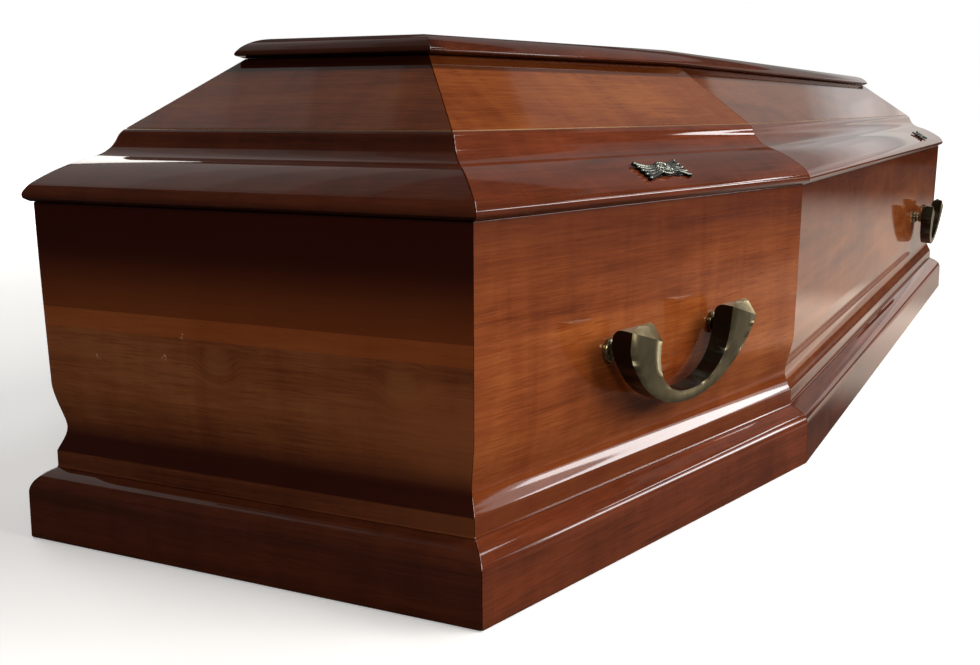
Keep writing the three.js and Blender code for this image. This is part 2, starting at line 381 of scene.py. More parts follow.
RAW_LIGHT = (0.48, 0.3, 0.16)
RAW_BOTTOM_LIGHT = (0.5, 0.32, 0.17)
PEWTER = Vector((0.25, 0.29, 0.27))


class Shade:
    """A shader socket that sums can be written with, such as 1 - mask."""

    def __init__(self, tree, socket):
        self.tree = tree
        self.socket = socket

    def sum(self, operation, *others):
        node = self.tree.nodes.new("ShaderNodeMath")
        node.operation = operation
        for slot, value in zip(node.inputs, (self, *others)):
            feed(self.tree, slot, value)
        return Shade(self.tree, node.outputs[0])

    def __add__(self, other):
        return self.sum("ADD", other)

    __radd__ = __add__

    def __mul__(self, other):
        return self.sum("MULTIPLY", other)

    __rmul__ = __mul__

    def __sub__(self, other):
        return self.sum("SUBTRACT", other)

    def __rsub__(self, other):
        return (self * -1.0) + other

    def ramp(self, low, high):
        """Rises smoothly from 0 at low to 1 at high."""
        node = self.tree.nodes.new("ShaderNodeMapRange")
        node.interpolation_type = "SMOOTHSTEP"
        for key, value in (("Value", self), ("From Min", low), ("From Max", high)):
            feed(self.tree, node.inputs[key], value)
        return Shade(self.tree, node.outputs[0])


def feed(tree, slot, value):
    """Links a socket to another, or sets its own value."""
    if isinstance(value, Shade):
        tree.links.new(value.socket, slot)
    else:
        slot.default_value = value


class Finish:
    """A material that is written node by node."""

    def __init__(self, name):
        self.material = bpy.data.materials.new(name)
        self.material.use_nodes = True
        self.tree = self.material.node_tree
        self.tree.nodes.clear()

    def node(self, kind, settings=None, out=0, **sockets):
        """Any node: its settings first, then its sockets by name or number."""
        node = self.tree.nodes.new("ShaderNode" + kind)
        for key, value in (settings or {}).items():
            if key == "stops":
                ramp = node.color_ramp
                while len(ramp.elements) < len(value):
                    ramp.elements.new(0.5)
                for element, (position, colour) in zip(ramp.elements, value):
                    element.position = position
                    element.color = (*colour, 1)
            else:
                setattr(node, key, value)
        for key, value in sockets.items():
            slot = int(key[1:]) if key[1:].isdigit() else key.replace("_", " ")
            feed(self.tree, node.inputs[slot], value)
        return Shade(self.tree, node.outputs[out]) if node.outputs else None

    def object_space(self):
        """Object coordinates, in metres."""
        return self.node("TexCoord", out=3)

    def grain_space(self, angle):
        """Object coordinates turned so that X runs along the grain."""
        return self.node("Mapping", Vector=self.object_space(), Rotation=(0, 0, -angle))

    def moved(self, space, offset):
        return self.node("VectorMath", {"operation": "ADD"}, _0=space, _1=offset)

    def stretched(self, space, x, y, z):
        return self.node("VectorMath", {"operation": "MULTIPLY"}, _0=space, _1=(x, y, z))

    def noise(self, space, scale, detail=4.0, rough=0.55, distort=0.0):
        return self.node(
            "TexNoise", {"noise_dimensions": "3D"}, Vector=space, Scale=scale, Detail=detail,
            Roughness=rough, Distortion=distort,
        )

    def blend(self, factor, first, second):
        """Mixes two colours."""
        return self.node(
            "Mix", {"data_type": "RGBA", "clamp_factor": True}, out=2,
            _0=factor, _6=first if isinstance(first, Shade) else (*first, 1),
            _7=second if isinstance(second, Shade) else (*second, 1),
        )

    def bump(self, height, strength, distance):
        return self.node("Bump", Strength=strength, Distance=distance, Height=height)

    def surface(self, **sockets):
        """Closes the material with one shader and gives it back."""
        shader = self.node("BsdfPrincipled", **sockets)
        self.node("OutputMaterial", Surface=shader)
        return self.material

    def split(self, space):
        """The X, Y and Z of a vector."""
        node = self.tree.nodes.new("ShaderNodeSeparateXYZ")
        feed(self.tree, node.inputs[0], space)
        return [Shade(self.tree, socket) for socket in node.outputs]


def lacquered_wood(name, angle, tones, shading=None, seed=0.0, knots=()):
    """Stained wood under a thick clear coat, with the grain along one side and bent round its knots."""
    deep, body, glow = tones
    finish = Finish(name)
    space = finish.grain_space(angle)
    if knots:
        _, across, height = finish.split(finish.object_space())
        for y, z in knots:
            pull = near_point(across, height, y, z, KNOT_SIZE)
            lift = (height - z) * pull * KNOT_SQUEEZE + pull * pull * KNOT_LIFT
            space = finish.moved(space, finish.node("CombineXYZ", _2=lift))
    space = finish.moved(space, (seed, seed * 0.37, seed * 0.71))
    broad = finish.noise(finish.stretched(space, 1.1, 7.0, 9.0), 1.3, 3.0, 0.5, 0.9)
    figure = finish.noise(finish.stretched(space, 3.5, 24.0, 30.0), 1.0, 4.0, 0.6, 1.2)
    lines = finish.noise(finish.stretched(space, 12.0, 300.0, 380.0), 1.0, 4.0, 0.7, 0.6)
    flame = finish.noise(finish.stretched(space, 26.0, 4.0, 5.0), 1.0, 3.0, 0.6, 0.5)
    pores = finish.noise(finish.stretched(space, 40.0, 900.0, 1100.0), 1.0, 2.0, 0.5)
    value = broad * 0.42 + figure * 0.2 + lines * 0.22 + flame * 0.16
    colour = finish.node("ValToRGB", {"stops": ((0.38, deep), (0.49, body), (0.62, glow))}, _0=value)
    colour = finish.blend(pores.ramp(0.54, 0.68) * 0.4, colour, deep)
    if shading is not None:
        colour = shading(finish, colour)
    ripple = finish.noise(finish.stretched(space, 5.0, 9.0, 9.0), 2.0, 2.0, 0.5)
    normal = finish.bump(ripple + lines * 0.05, 0.1, 0.0012)
    return finish.surface(
        Base_Color=colour, Roughness=(lines * 0.15) + 0.32, Normal=normal,
        Coat_Weight=1.0, Coat_Roughness=0.05, Coat_IOR=1.5, Specular_IOR_Level=0.0,
    )


def raw_wood(name, angle, dark, light):
    """Plain sanded board, dull and unfinished."""
    finish = Finish(name)
    space = finish.grain_space(angle)
    lines = finish.noise(finish.stretched(space, 1.2, 22.0, 22.0), 3.0, 5.0, 0.6, 0.3)
    fibres = finish.noise(finish.stretched(space, 14.0, 420.0, 420.0), 1.0, 2.0)
    colour = finish.blend(lines.ramp(0.35, 0.7), dark, light)
    return finish.surface(
        Base_Color=colour, Roughness=(fibres * 0.2) + 0.6,
        Normal=finish.bump(fibres, 0.25, 0.0004), IOR=1.45,
    )


def cast_bronze(name, dark, bright, roughness, relief=None):
    """Cast metal, browned all over and brightened by a stored attribute: rubbed where the ornaments' relief
    stands proud, painted highlight and shade on the bails.
    """
    finish = Finish(name)
    space = finish.object_space()
    cloud = finish.noise(space, 38.0, 4.0, 0.6)
    fine = finish.noise(space, 620.0, 3.0, 0.6)
    rub_and_sheen = cloud.ramp(0.35, 0.7)
    if relief is not None:
        edge = finish.node("Attribute", {"attribute_name": relief}, out=2)
        rub_and_sheen = (rub_and_sheen * 0.35 + 0.65) * edge
    colour = finish.blend(rub_and_sheen, dark, bright)
    return finish.surface(
        Base_Color=colour, Metallic=0.9, Roughness=(cloud * 0.14) + roughness,
        Normal=finish.bump(fine, 0.12, 0.00012),
    )


def keep_relief(piece, name, measure):
    """Stores a number from 0 to 1 for each vertex of a finished pattern."""
    relief = piece.data.attributes.new(name, "FLOAT", "POINT")
    for vertex, entry in zip(piece.data.vertices, relief.data):
        entry.value = min(max(measure(vertex), 0.0), 1.0)


def shaded_edges(dark, low, high, strength, fillet=1.0):
    """A darker tone towards a board's lower and upper edges, and less of it on the foot's fillet."""
    def shade(finish, colour):
        height = finish.split(finish.object_space())[2]
        foot = (1.0 - height.ramp(*low)) * (height.ramp(*FILLET_TOP) * (1.0 - fillet) + fillet)
        head = height.ramp(*high)
        return finish.blend((foot + head) * strength, colour, dark)
    return shade


def near_point(across, height, y, z, reach):
    """1 at one point of the head end, fading to 0 at a distance from it."""
    square = (across - y) * (across - y) + (height - z) * (height - z)
    return 1.0 - square.ramp(0.0, reach ** 2)


def head_end_shading(finish, colour):
    """Edge-glued planks with knots and nicks: the tone steps at each joint."""
    place_at = finish.object_space()
    _, across, height = finish.split(place_at)
    for joint, tone, share in HEAD_PLANKS:
        above = height.ramp(joint - HALF_JOINT_LINE, joint + HALF_JOINT_LINE)
        tinted = finish.blend(share, colour, tone)
        colour = finish.blend(above, colour, tinted)
    warm = (1.0 - across.ramp(-0.2, -0.04)) * (1.0 - height.ramp(0.14, 0.2))
    colour = finish.blend(warm * 0.5, colour, HEAD_WARM_TONE)
    edge_darkening = shaded_edges(HEAD_EDGE_TONE, HEAD_FOOT_EDGE, HEAD_TOP_EDGE, 0.94, 0.5)
    colour = edge_darkening(finish, colour)
    specks = finish.noise(place_at, 360.0, 2.0, 0.5).ramp(0.5, 0.6)
    for y, z in HEAD_NICKS:
        nick = near_point(across, height, y, z, NICK_SIZE) * specks
        colour = finish.blend(nick * 0.75, colour, NICK_TONE)
    for y, z in HEAD_KNOTS:
        knot = near_point(across, height, y, z, KNOT_SIZE * 0.6)
        colour = finish.blend(knot * 0.3, colour, KNOT_TONE)
    return colour


def cap_shading(finish, colour):
    """Painted shade on the top board: it darkens towards its head edge."""
    along = finish.split(finish.object_space())[0]
    # Painted shade, fading in from the head edge.
    return finish.blend((1.0 - along.ramp(*CAP_HEAD_EDGE)) * 0.75, colour, CAP_HEAD_SHADE_TONE)


# What a user may change

class CoffinSizes(bpy.types.PropertyGroup):
    """Sizes that a user may change."""

    arris: bpy.props.FloatProperty(
        name="Arris", description="Width of the eased edges of the woodwork, in millimetres",
        default=1.1, min=0.1, max=3.0)
    bail_arris: bpy.props.FloatProperty(
        name="Bail Arris", description="Width of the eased edges of the handles, in millimetres",
        default=0.8, min=0.2, max=3.0)
    bail_depth: bpy.props.FloatProperty(
        name="Bail Depth", description="How thick the bails are, in millimetres",
        default=18.0, min=8.0, max=20.0)


class CoffinColours(bpy.types.PropertyGroup):
    """Colours that a user may change."""

    deep: bpy.props.FloatVectorProperty(
        name="Deep Stain", description="Darkest tone of the panels", subtype="COLOR",
        size=3, default=(0.1, 0.018, 0.004))
    body: bpy.props.FloatVectorProperty(
        name="Body Stain", description="Main tone of the panels", subtype="COLOR",
        size=3, default=(0.215, 0.05, 0.0115))
    glow: bpy.props.FloatVectorProperty(
        name="Golden Figure", description="Lightest tone of the panels", subtype="COLOR",
        size=3, default=(0.34, 0.1, 0.024))
    moulding: bpy.props.FloatVectorProperty(
        name="Moulding Stain", description="Main tone of the mouldings", subtype="COLOR",
        size=3, default=(0.12, 0.026, 0.0095))
    # The bright tone also serves the bails' painted highlight.
    bronze: bpy.props.FloatVectorProperty(
        name="Bronze", description="Rubbed tone of the castings", subtype="COLOR",
        size=3, default=(0.42, 0.34, 0.19))


def sizes():
    return bpy.context.scene.coffin_sizes


def colours():
    return bpy.context.scene.coffin_colours


# Each side's finish, made once, turned to that side's grain.
WOODS = {}


def panel_wood(index):
    """The walls' finish; the head end is stained browner, plank by plank."""
    name = "head_panel_wood" if index == 0 else "side_panel_wood_" + SIDE_NAMES[index]
    if name not in WOODS:
        c = colours()
        angle = SIDES[index].angle
        if index == 0:
            WOODS[name] = lacquered_wood(name, angle, HEAD_TONES, head_end_shading, 3.1, HEAD_KNOTS)
        else:
            shade = shaded_edges(SIDE_EDGE_TONE, SIDE_FOOT_EDGE, SIDE_TOP_EDGE, 0.68)
            WOODS[name] = lacquered_wood(name, angle, (c.deep, c.body, c.glow), shade, 1.7 * index)
    return WOODS[name]


def slope_wood(index):
    """The lid's sloping panels: the walls' tones a little darker, with painted shade in a dark band under
    the top board.
    """
    name = "slope_wood_" + SIDE_NAMES[index]
    if name not in WOODS:
        c = colours()
        dim, band = (0.5, 0.95) if index == 0 else (0.78, 0.7)
        tones = [tuple(Vector(tone) * dim) for tone in (c.deep, c.body, c.glow)]
        darkest = tuple(Vector(c.deep) * dim * 0.25)
        # Painted shade: the band stands in for the top board's shadow and its mirrored underside, strongest
        # on the head end's panel.
        shade = shaded_edges(darkest, SLOPE_FOOT_EDGE, SLOPE_TOP_EDGE, band)
        WOODS[name] = lacquered_wood(name, SIDES[index].angle, tones, shade, 2.3 * index + 0.4)
    return WOODS[name]


def moulding_tones(share):
    """Deep, main and light tone of a moulding's stain, at a share of its strength of light."""
    main = Vector(colours().moulding) * share
    return tuple(main * 0.5), tuple(main), tuple(main * 1.6)


def moulding_wood(index):
    """The mouldings' darker stain, darkest at the head end."""
    name = "moulding_wood_" + SIDE_NAMES[index]
    if name not in WOODS:
        tones = moulding_tones(0.46 if index == 0 else 1.0)
        WOODS[name] = lacquered_wood(name, SIDES[index].angle, tones, None, 0.9 * index)
    return WOODS[name]


def inside_wood(index):
    """Bare board, with the grain along one side."""
    name = "inside_wood_" + SIDE_NAMES[index]
    if name not in WOODS:
        WOODS[name] = raw_wood(name, SIDES[index].angle, RAW_DARK, RAW_LIGHT)
    return WOODS[name]


def coat(piece, outside, inside=None, is_inside=None):
    """Outside finish everywhere, and bare wood on the faces that a test names."""
    piece.data.materials.clear()
    piece.data.materials.append(outside)
    if inside is not None:
        piece.data.materials.append(inside)
        for face in piece.data.polygons:
            face.material_index = int(is_inside(face))


class COFFIN_OT_walls(bpy.types.Operator):
    """Six wall boards with their scotia, and the bottom board"""

    bl_idname = "coffin.walls"
    bl_label = "Walls and Bottom"

    def execute(self, context):
        for index, side in enumerate(SIDES):
            piece = moulding("panel_" + SIDE_NAMES[index], WALL, index, sizes().arris)
            inward = side.inward
            coat(
                piece, panel_wood(index), inside_wood(index),
                lambda face, inward=inward: face.normal.xy.dot(inward) > 0.9 or abs(face.normal.z) > 0.99,
            )
            hand_over(piece, "side_wood", "wall_" + SIDE_NAMES[index])
        board = six_sided_board("bottom_panel", WALL_INSIDE - GAP, 0.0, BOTTOM_THICKNESS)
        place(board, Matrix.Scale(MM, 4))
        finish_edges(board, sizes().arris * MM)
        coat(board, raw_wood("bottom_wood", 0.0, RAW_DARK, RAW_BOTTOM_LIGHT))
        hand_over(board, "raw_board", "bottom_board")
        return {"FINISHED"}


class COFFIN_OT_plinth(bpy.types.Operator):
    """The plinth's six moulding lengths"""

    bl_idname = "coffin.plinth"
    bl_label = "Plinth"

    def execute(self, context):
        for index in range(len(SIDES)):
            piece = moulding("plinth_length_" + SIDE_NAMES[index], PLINTH, index, sizes().arris)
            coat(piece, moulding_wood(index))
            hand_over(piece, "moulding_wood", "plinth_" + SIDE_NAMES[index])
        return {"FINISHED"}


class COFFIN_OT_lid(bpy.types.Operator):
    """The lid's edge mouldings, sloping panels and top board"""

    bl_idname = "coffin.lid"
    bl_label = "Lid"

    def execute(self, context):
        for index, side in enumerate(SIDES):
            rim = moulding("lid_edge_" + SIDE_NAMES[index], RIM, index, sizes().arris)
            coat(
                rim, moulding_wood(index), inside_wood(index),
                lambda face, side=side: (face.center.xy - side.start * MM).dot(side.inward) > BARE_FROM * MM
                and face.normal.z < -0.2,
            )
            hand_over(rim, "moulding_wood", "lid_rim_" + SIDE_NAMES[index])
            slope = moulding("lid_panel_" + SIDE_NAMES[index], SLOPE, index, sizes().arris)
            coat(
                slope, slope_wood(index), inside_wood(index),
                lambda face: face.normal.z < -0.3,
            )
            hand_over(slope, "side_wood", "lid_slope_" + SIDE_NAMES[index])
        cap = six_sided_board("lid_cap", CAP_NOSE_OFFSET, CAP_NOSE_LOW[1], CAP_NOSE_HIGH[1])
        stepped_edge(cap, True, CAP_NOSE_HIGH, CAP_TOP)
        stepped_edge(cap, False, CAP_NOSE_LOW, CAP_UNDER)
        place(cap, Matrix.Scale(MM, 4))
        finish_edges(cap, sizes().arris * MM * 0.5)
        cap_grain = SIDE_NAMES.index("long_right")
        coat(cap, lacquered_wood("cap_wood", SIDES[cap_grain].angle, moulding_tones(0.62), cap_shading, 5.3))
        hand_over(cap, "moulding_wood", "lid_top_board")
        return {"FINISHED"}


# Handles: half of the bail's front outline, from a leg's tip to the middle.
BAIL_HALF_WIDTH = 111.0
BAIL_HALF_GAP = 61.0
LEG_WIDTH = BAIL_HALF_WIDTH - BAIL_HALF_GAP
BAIL_BOTTOM = 122.5
BAIL_BAR = 10.0
LEG_TOP = 199.0
LEG_TOP_LOW = 185.0
LEG_BEND = 184.0
LEG_TOP_ROUND = 8.5
BAIL_ROWS = 4
BAIL_CROWN = 1.7
DRAWN_BELOW = -500.0
GRIP_TOP = 155.0
GRIP_FADE = 25.0
TOUCH = 0.1
KNEE = (96.0, 162.0)
INSIDE_KNEE = (55.0, 157.0)
BAIL_OUTSIDE = (
    [(BAIL_HALF_WIDTH, LEG_TOP), (BAIL_HALF_WIDTH, LEG_BEND)]
    + curve((BAIL_HALF_WIDTH, LEG_BEND), (108.5, 176.0), (103.0, 169.0), KNEE, 9)
    + curve(KNEE, (80.0, 144.0), (48.0, BAIL_BOTTOM), (0.0, BAIL_BOTTOM), 16)
)
BAIL_INSIDE = (
    [(BAIL_HALF_GAP, LEG_TOP), (BAIL_HALF_GAP, LEG_BEND)]
    + curve((BAIL_HALF_GAP, LEG_BEND), (61.5, 175.0), (59.5, 165.0), INSIDE_KNEE, 9)
    + curve(INSIDE_KNEE, (46.0, 142.0), (26.0, BAIL_BOTTOM + BAIL_BAR), (0.0, BAIL_BOTTOM + BAIL_BAR), 16)
)
HANDLE_HEIGHT = 177.0
HANDLE_ALONG = {1: 269.0, 2: 1185.0}
POST_SPREAD = 89.0
BAIL_BACK = 15.0
BAIL_LEAN = 0.1


def on_side(side, along, mirrored):
    """Takes a fitting drawn at its centre, with +Y towards the wall, to its side."""
    matrix = side.matrix() @ Matrix.Translation((along, 0, 0))
    return Matrix.Scale(-1, 4, (0, 1, 0)) @ matrix if mirrored else matrix


def both_halves(half):
    """An outline from tip to tip, mirrored from one half of it."""
    return [Vector((-x, z)) for x, z in half] + [Vector(point) for point in reversed(half[:-1])]


def draw_bail_front(outside, inside):
    """Bends a flat grid, begun clear of the bail, from tip to tip and gives back its points' places."""
    piece = begin(
        "bail_pattern", bpy.ops.mesh.primitive_grid_add, x_subdivisions=len(outside) - 1,
        y_subdivisions=BAIL_ROWS, size=2.0, location=(0, 0, DRAWN_BELOW),
    )
    bpy.ops.object.mode_set(mode="OBJECT")
    bpy.ops.object.transform_apply(location=True)
    starts = sorted((v.co.copy() for v in piece.data.vertices), key=lambda co: (round(co.x, 4), co.y))
    bpy.ops.object.mode_set(mode="EDIT")
    targets = []
    for outer, inner in zip(outside, inside):
        targets += [outer.lerp(inner, k / BAIL_ROWS) for k in range(BAIL_ROWS + 1)]
    for here, target in zip(starts, targets):
        pick(piece, "VERT", lambda co, here=here: (co - here).length < 1e-4)
        bpy.ops.transform.translate(value=(target.x - here.x, -here.y, target.y - here.z))
    bpy.ops.object.mode_set(mode="OBJECT")
    return piece, targets


def crown_grip(piece, outside, inside, targets):
    """Sets the front's edges back where the bail narrows to its grip, and leaves the legs flat."""
    for number, target in enumerate(targets):
        column, k = divmod(number, BAIL_ROWS + 1)
        width = (outside[column] - inside[column]).length
        crown = BAIL_CROWN * max(1.0 - width / LEG_WIDTH, 0.0)
        pick(piece, "VERT", lambda co, target=target: (
            co.y < 0 and abs(co.x - target.x) < TOUCH / 2 and abs(co.z - target.y) < TOUCH / 2))
        bpy.ops.transform.translate(value=(0, crown * (2 * k / BAIL_ROWS - 1) ** 2, 0))


def cut_tips(piece):
    """Slopes the top of each leg down to its foot side, with a ridge across it and a round back edge."""
    def at_top(co, x):
        return abs(co.x - x) < TOUCH and co.z > LEG_TOP - TOUCH

    pick(piece, "EDGE", lambda a, b: min(a.z, b.z) > LEG_TOP - TOUCH and abs(a.x - b.x) < TOUCH and (
        BAIL_HALF_GAP + 1 < abs(a.x) < BAIL_HALF_WIDTH - 1))
    bpy.ops.mesh.dissolve_edges(use_verts=False)
    pick(piece, "EDGE", lambda a, b: min(a.z, b.z) > LEG_TOP - TOUCH and min(a.y, b.y) > 0)
    bpy.ops.mesh.bevel(offset=LEG_TOP_ROUND, segments=4, affect="EDGES")
    drop = LEG_TOP_LOW - LEG_TOP
    for foot_side in (-BAIL_HALF_GAP, BAIL_HALF_WIDTH):
        head_side = foot_side - LEG_WIDTH
        middle = foot_side - LEG_WIDTH / 2
        for k in range(1, BAIL_ROWS + 1):
            x = head_side + LEG_WIDTH * k / BAIL_ROWS
            pick(piece, "VERT", lambda co, x=x: at_top(co, x) and co.y < 0)
            bpy.ops.transform.translate(value=(0, 0, drop * k / BAIL_ROWS))
        pick(piece, "VERT", lambda co, a=head_side, b=middle: (
            at_top(co, a) and co.y < 0 or at_top(co, b) and co.y > 0))
        bpy.ops.mesh.vert_connect()
        for share in (0.5, 1.0):
            x = middle + (foot_side - middle) * share
            pick(piece, "VERT", lambda co, x=x: at_top(co, x) and co.y > 0)
            bpy.ops.transform.translate(value=(0, 0, drop * share / 6))


def draw_bail(depth, arris):
    """One bail: its front bent round, thickened, crowned at the grip and cut at the tips."""
    outside, inside = both_halves(BAIL_OUTSIDE), both_halves(BAIL_INSIDE)
    piece, targets = draw_bail_front(outside, inside)
    modify(piece, "SOLIDIFY", thickness=depth, offset=0.0, use_even_offset=False)
    select_only(piece)
    bpy.ops.object.mode_set(mode="EDIT")
    crown_grip(piece, outside, inside, targets)
    cut_tips(piece)
    face_outward()
    bpy.ops.object.mode_set(mode="OBJECT")
    lean = Matrix.Translation((0, -(BAIL_BACK + depth / 2), HANDLE_HEIGHT))
    lean = lean @ Matrix.Rotation(math.atan(BAIL_LEAN), 4, "X")
    place(piece, lean @ Matrix.Translation((0, 0, -HANDLE_HEIGHT)))
    finish_edges(piece, arris, 2, 40.0, crisp=True)
    return piece


def wear_and_sheen(vertex):
    """How bright a point of the bail is painted: a painted highlight on the tips' tops, painted shade on the
    sides, and the grip brighter from wear and a painted highlight.
    """
    # Painted highlight on the tips' upward facets and their edges.
    if vertex.co.z > LEG_BEND + 0.5 and vertex.normal.z > 0.3:
        return 1.0
    # Painted shade on faces turned away from the front.
    facing = min(max(-2.2 * vertex.normal.y - 1.2, 0.0), 1.0)
    # Wear and a painted highlight on the grip.
    grip = min(max((GRIP_TOP - vertex.co.z) / GRIP_FADE, 0.0), 1.0)
    return facing * (0.55 + 0.45 * grip)


# Posts: radius and height of each step, from the wall outward.
POST_FOOT = -0.5
POST_STEPS = (
    [(10.5, 0.0), (10.5, 2.2)]
    + curve((10.5, 2.2), (9.5, 4.4), (6.2, 5.0), (6.2, 8.5), 6)
    + [(8.2, 10.6), (8.6, 12.0), (8.6, 14.0)]
)


def draw_post():
    """Turns one post: a disc is drawn out and widened or narrowed in steps."""
    radius, height = POST_STEPS[0]
    piece = begin(
        "post_pattern", bpy.ops.mesh.primitive_circle_add, vertices=40, radius=radius,
        fill_type="NGON", location=(0, 0, 0),
    )
    bpy.ops.mesh.select_mode(type="FACE")
    bpy.ops.mesh.select_all(action="SELECT")
    for wide, high in POST_STEPS[1:]:
        bpy.ops.mesh.extrude_region_move(TRANSFORM_OT_translate=shift(0, 0, high - height))
        if abs(wide - radius) > 1e-6:
            ratio = wide / radius
            bpy.ops.transform.resize(value=(ratio, ratio, 1), center_override=(0, 0, high))
        radius, height = wide, high
    face_outward()
    place(piece, Matrix.Rotation(math.radians(90), 4, "X"))
    finish_edges(piece, 0.4, 2, 50.0)
    return piece


class COFFIN_OT_handles(bpy.types.Operator):
    """Four cast bail handles on their posts"""

    bl_idname = "coffin.handles"
    bl_label = "Handles"

    def execute(self, context):
        bright = Vector(colours().bronze)
        bronze = cast_bronze("worn_and_sheen_bronze", tuple(bright * 0.05), tuple(bright), 0.3, "front")
        dull = cast_bronze("dark_bronze", tuple(bright * 0.2), tuple(bright * 0.7), 0.12)
        bail = draw_bail(sizes().bail_depth, sizes().bail_arris)
        # Painted highlight and painted shade, stored as the bail's front attribute.
        keep_relief(bail, "front", wear_and_sheen)
        post = draw_post()
        coat(bail, bronze)
        coat(post, dull)
        for name, index, mirrored in HANDLE_PLACES:
            side = SIDES[index]
            along = HANDLE_ALONG[index]
            piece = copy_of(bail, "bail_" + name)
            place(piece, on_side(side, along, mirrored))
            hand_over(piece, "antique_bronze", "handle_bail_" + name)
            for letter, offset in (("a", -POST_SPREAD), ("b", POST_SPREAD)):
                stub = copy_of(post, f"post_{letter}_{name}")
                stand = on_side(side, along + offset, mirrored)
                place(stub, stand @ Matrix.Translation((0, -POST_FOOT, HANDLE_HEIGHT)))
                hand_over(stub, "antique_bronze", f"handle_post_{letter}_{name}")
        for pattern in (bail, post):
            bpy.data.objects.remove(pattern)
        return {"FINISHED"}


ORNAMENT_ALONG = {1: 274.5, 2: 1192.5}
ORNAMENT_OFFSET = -8.5
ORNAMENT_HEIGHT = 319.7
ORNAMENT_TILT = math.radians(33.5)
WING_LENGTH = 37.5
WING_HALF_WIDTH = 12.5
FINGERS = 5
FINGER_ROOT = 9.0
FINGER_STEPS = 16
ORNAMENT_GRID = 0.4
KNOT_PEBBLES = 22
CREST_PEBBLES = 9
RELIEF_LOW = 2.1
RELIEF_RISE = 1.2


def add_pebble(centre, size, turn=0.0):
    """One flattened ball, joined to the ornament later."""
    bpy.ops.mesh.primitive_uv_sphere_add(
        segments=20, ring_count=12, radius=1.0, location=centre, rotation=(0, 0, turn), scale=size,
    )
    return bpy.context.object


def add_finger(sign, rank):
    """One finger of a wing: it runs out from the knot, swells and ends in a round tip."""
    crest = 1.0 - 0.35 * abs(rank)
    pebbles = []
    reach = WING_LENGTH - FINGER_ROOT - (6.0 if sign > 0 else 2.4)
    for k in range(FINGER_STEPS):
        share = k / (FINGER_STEPS - 1)
        x = FINGER_ROOT + reach * share
        spread = rank * (WING_HALF_WIDTH - 2.2) * (0.42 + 0.58 * share ** 1.6)
        y = spread + 1.3 * math.sin(share * math.pi) * sign
        wide = 1.45 + 0.55 * share
        tall = 2.1 + 0.9 * crest * (1 - share) + (0.5 if k == FINGER_STEPS - 1 else 0.0)
        pebbles.append(add_pebble((sign * x, y, 1.0), (2.9, wide, tall)))
    return pebbles


def add_knot():
    """The twisted oval between the wings: a rim with a crest that crosses it."""
    pebbles = [add_pebble((0, 0, 0.6), (13.0, 8.6, 2.4), -0.25)]
    for k in range(KNOT_PEBBLES):
        angle = 2 * math.pi * k / KNOT_PEBBLES
        place_at = (11.0 * math.cos(angle), 7.6 * math.sin(angle), 2.2)
        pebbles.append(add_pebble(place_at, (2.3, 1.5, 1.9), angle + math.pi / 2))
    for k in range(CREST_PEBBLES):
        share = 2 * k / (CREST_PEBBLES - 1) - 1
        place_at = (8.0 * share, -3.2 * share + 2.4 * math.sin(share * 3), 3.0)
        pebbles.append(add_pebble(place_at, (2.4, 1.6, 1.8)))
    return pebbles


def draw_ornament():
    """Two wings of rounded fingers joined by a twisted knot, cast as one."""
    start_fresh()
    parts = add_knot()
    for sign in (-1, 1):
        parts.append(add_pebble((sign * 18.0, 0, 0.2), (17.0, 9.0, 1.9)))
        for k in range(FINGERS):
            parts += add_finger(sign, 2 * k / (FINGERS - 1) - 1)
    start_fresh()
    for part in parts:
        part.select_set(True)
    bpy.context.view_layer.objects.active = parts[0]
    bpy.ops.object.join()
    piece = bpy.context.object
    piece.name = "ornament_pattern"
    bpy.ops.object.transform_apply(location=True, rotation=True, scale=True)
    modify(piece, "REMESH", mode="VOXEL", voxel_size=ORNAMENT_GRID)
    bpy.ops.object.mode_set(mode="EDIT")
    bpy.ops.mesh.select_all(action="SELECT")
    bpy.ops.mesh.bisect(plane_co=(0, 0, 0.2), plane_no=(0, 0, 1), use_fill=True, clear_inner=True)
    face_outward()
    bpy.ops.object.mode_set(mode="OBJECT")
    bpy.ops.object.shade_smooth_by_angle(angle=math.radians(60))
    return piece


class COFFIN_OT_ornaments(bpy.types.Operator):
    """Four winged ornaments on the lid's edge moulding"""

    bl_idname = "coffin.ornaments"
    bl_label = "Lid Ornaments"

    def execute(self, context):
        bright = Vector(colours().bronze)
        pattern = draw_ornament()
        keep_relief(pattern, "height", lambda vertex: (vertex.co.z - RELIEF_LOW) / RELIEF_RISE)
        grey = bright.lerp(PEWTER, 0.8) * 0.75
        coat(pattern, cast_bronze("ornament_bronze", tuple(grey * 0.06), tuple(grey), 0.1, "height"))
        for name, index, mirrored in HANDLE_PLACES:
            piece = copy_of(pattern, "ornament_" + name)
            stand = on_side(SIDES[index], ORNAMENT_ALONG[index], mirrored)
            stand = stand @ Matrix.Translation((0, -ORNAMENT_OFFSET, ORNAMENT_HEIGHT))
            place(piece, stand @ Matrix.Rotation(ORNAMENT_TILT, 4, "X"))
            hand_over(piece, "antique_bronze", "lid_ornament_" + name)
        bpy.data.objects.remove(pattern)
        return {"FINISHED"}


# The stage: the camera fitted to the photograph, in metres and in pixels of its frame.
CAMERA_PLACE = Vector((-1.7927, -0.6529, 0.3736))
CAMERA_YAW = math.radians(27.69)
CAMERA_PITCH = math.radians(-11.70)
CAMERA_ROLL = math.radians(0.10)
FRAME_WIDTH = 980
FOCAL_PIXELS = 1280.8
CENTRE_PIXEL = (509.4, 372.7)
FRAME_CENTRE = (490.0, 332.5)
SENSOR = 36.0

WHITE = (1.0, 1.0, 1.0)
DAYLIGHT = (1.0, 0.97, 0.92)
NEAR_SHOULDER = (-0.75, -0.26, 0.2)
FOOT_HALF_WAY = (0.4, 0.0, 0.3)
